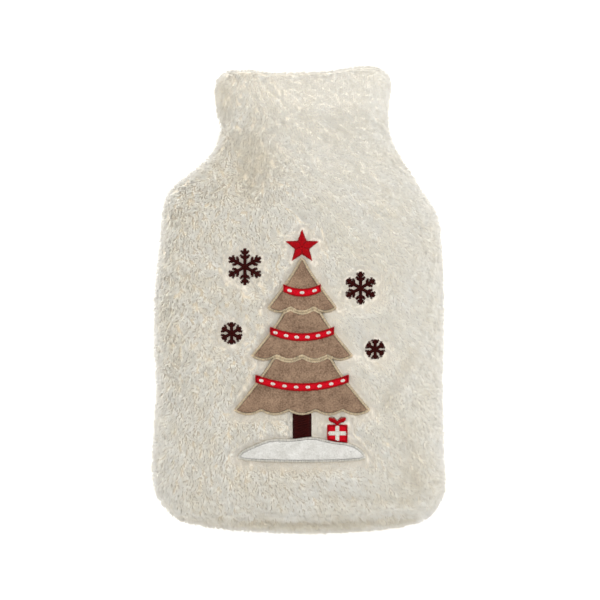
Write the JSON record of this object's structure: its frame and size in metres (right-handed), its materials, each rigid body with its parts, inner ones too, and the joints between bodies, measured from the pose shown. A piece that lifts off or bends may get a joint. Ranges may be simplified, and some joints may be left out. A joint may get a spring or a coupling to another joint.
{
  "type": "hot water bottle cover",
  "caption": "Fitted hot water bottle cover of long-pile fleece, full and lying on its back, open at the neck's mouth, with a fir tree sewn on its front.",
  "frame": {"origin": "centre of the cover's outline, on the surface that its back rests on", "axes": "+X across the cover, +Y up it from the bottom edge to the mouth, +Z up out of its front"},
  "size_m": [0.2222, 0.3544, 0.0474],
  "materials": {
    "fleece": "cream long-pile polyester fleece",
    "taupe_plush": "short taupe plush",
    "white_plush": "short white plush",
    "red_felt": "red felt",
    "red_satin": "red satin stitch",
    "brown_satin": "dark brown satin stitch",
    "white_satin": "white satin stitch"
  },
  "bodies": {
    "root": {"front_panel": "fleece", "back_panel": "fleece", "fir_tier_top": "taupe_plush", "fir_tier_middle": "taupe_plush", "fir_tier_bottom": "taupe_plush", "trunk": "brown_satin", "snow_bank": "white_plush", "gift_box": "red_felt", "gift_ribbon": "white_satin", "star": "red_satin", "garland_top": "red_felt", "garland_middle": "red_felt", "garland_bottom": "red_felt", "snowflake_upper_left": "brown_satin", "snowflake_upper_right": "brown_satin", "snowflake_lower_left": "brown_satin", "snowflake_lower_right": "brown_satin"}
  },
  "joints": []
}
